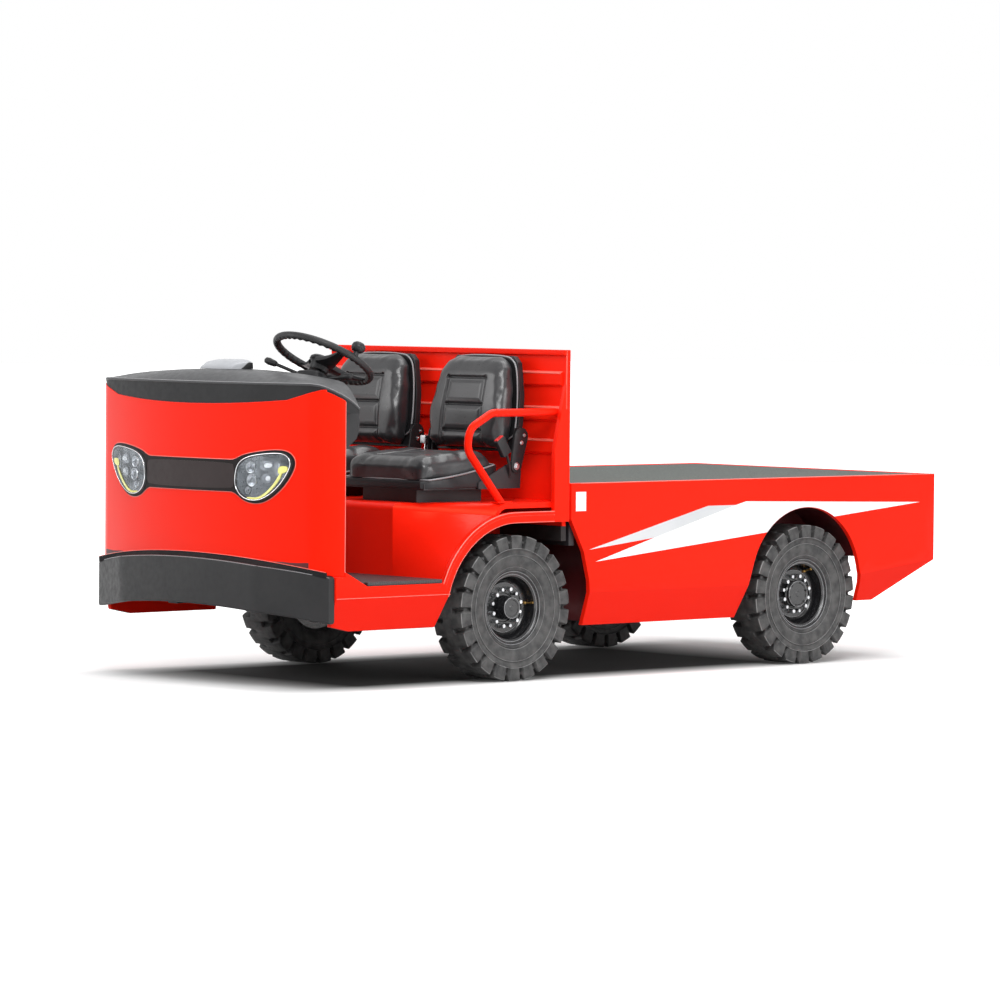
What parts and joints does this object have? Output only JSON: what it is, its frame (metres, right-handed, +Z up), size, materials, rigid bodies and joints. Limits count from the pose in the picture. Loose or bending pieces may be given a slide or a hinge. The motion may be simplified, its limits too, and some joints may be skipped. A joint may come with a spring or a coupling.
{
  "type": "electric platform truck",
  "caption": "Electric platform truck with an open side-entry cab, seats side by side, a bulkhead and a flat load deck over steel side panels, on pneumatic tyres.",
  "frame": {"origin": "on the ground, at the middle of the overall box", "axes": "+Z up, -Y towards the truck's front, +X towards its left side"},
  "size_m": [1.47, 3.576, 1.4039],
  "materials": {
    "red_paint": "gloss",
    "dark_red_paint": "satin",
    "black_plastic": "textured matte",
    "bumper_plastic": "textured matte",
    "lens": "clear",
    "red_lens": "gloss",
    "rubber_mat": "matte",
    "deck_rubber": "ribbed matte",
    "frame_steel": "satin black",
    "deck_steel": "gloss",
    "seat_vinyl": "soft sheen",
    "tyre": "matte",
    "rim_black": "satin",
    "pod_grey": "matte",
    "battery": "matte"
  },
  "bodies": {
    "chassis": {"front_fascia": "red_paint", "cab_sides": "red_paint", "cab_floor": "red_paint", "seat_box": "red_paint", "bulkhead": "red_paint", "grab_rails": "red_paint", "side_panel_left": "red_paint", "side_panel_right": "red_paint", "rear_panel": "red_paint", "platform_deck": "deck_steel", "cowl_top": "black_plastic", "dash_panel": "black_plastic", "lamp_mask": "black_plastic", "steering_column": "black_plastic", "pedals": "black_plastic", "bumper": "bumper_plastic", "headlamps": "lens", "tail_lamps": "red_lens", "floor_mat": "rubber_mat", "deck_mat": "deck_rubber", "wheel_boxes": "dark_red_paint", "front_walls": "dark_red_paint", "frame_rails": "frame_steel", "cross_members": "frame_steel", "deck_bearers": "frame_steel", "tow_hitch": "frame_steel", "front_axle": "frame_steel", "rear_axle": "frame_steel", "leaf_springs": "frame_steel", "seat_frames": "frame_steel", "seat_cushions": "seat_vinyl", "battery_pack": "battery", "instrument_pod": "pod_grey"},
    "steering_wheel": {"steering_wheel": "black_plastic"},
    "knuckle_left": {"knuckle_left": "frame_steel"},
    "knuckle_right": {"knuckle_right": "frame_steel"},
    "tie_rod": {"tie_rod": "frame_steel"},
    "wheel_front_left": {"tyre_front_left": "tyre", "rim_front_left": "rim_black"},
    "wheel_front_right": {"tyre_front_right": "tyre", "rim_front_right": "rim_black"},
    "wheel_rear_left": {"tyre_rear_left": "tyre", "rim_rear_left": "rim_black"},
    "wheel_rear_right": {"tyre_rear_right": "tyre", "rim_rear_right": "rim_black"},
    "backrest_left": {"backrest_shell_left": "black_plastic", "backrest_pad_left": "seat_vinyl"},
    "backrest_right": {"backrest_shell_right": "black_plastic", "backrest_pad_right": "seat_vinyl"}
  },
  "joints": [
    {"name": "steer_left", "type": "hinge", "parent": "chassis", "child": "knuckle_left", "pos_m": [0.47, -0.623, 0.295], "axis": [0, 0, 1], "range_deg": [-32, 32]},
    {"name": "steer_right", "type": "hinge", "parent": "chassis", "child": "knuckle_right", "pos_m": [-0.47, -0.623, 0.295], "axis": [0, 0, 1], "range_deg": [-32, 32]},
    {"name": "steering_wheel_turn", "type": "hinge", "parent": "chassis", "child": "steering_wheel", "pos_m": [0.304, -1.323, 1.277], "axis": [0, 0.4695, 0.8829], "range_deg": [-541, 541]},
    {"name": "tie_rod_slide", "type": "slide", "parent": "chassis", "child": "tie_rod", "axis": [1, 0, 0], "range_m": [-0.09, 0.09]},
    {"name": "wheel_spin_front_left", "type": "hinge", "parent": "knuckle_left", "child": "wheel_front_left", "pos_m": [0.6115, -0.623, 0.295], "axis": [1, 0, 0], "continuous": true},
    {"name": "wheel_spin_front_right", "type": "hinge", "parent": "knuckle_right", "child": "wheel_front_right", "pos_m": [-0.6115, -0.623, 0.295], "axis": [1, 0, 0], "continuous": true},
    {"name": "wheel_spin_rear_left", "type": "hinge", "parent": "chassis", "child": "wheel_rear_left", "pos_m": [0.6115, 1.037, 0.295], "axis": [1, 0, 0], "continuous": true},
    {"name": "wheel_spin_rear_right", "type": "hinge", "parent": "chassis", "child": "wheel_rear_right", "pos_m": [-0.6115, 1.037, 0.295], "axis": [1, 0, 0], "continuous": true},
    {"name": "backrest_recline_left", "type": "hinge", "parent": "chassis", "child": "backrest_left", "pos_m": [0.317, -0.521, 0.862], "axis": [1, 0, 0], "range_deg": [0, 15]},
    {"name": "backrest_recline_right", "type": "hinge", "parent": "chassis", "child": "backrest_right", "pos_m": [-0.317, -0.521, 0.862], "axis": [1, 0, 0], "range_deg": [0, 15]}
  ],
  "couplings": [
    {"joint": "steer_right", "follows": "steer_left", "ratio": 1},
    {"joint": "steering_wheel_turn", "follows": "steer_left", "ratio": 16.875},
    {"joint": "tie_rod_slide", "follows": "steer_left", "m_per_rad": -0.15}
  ]
}
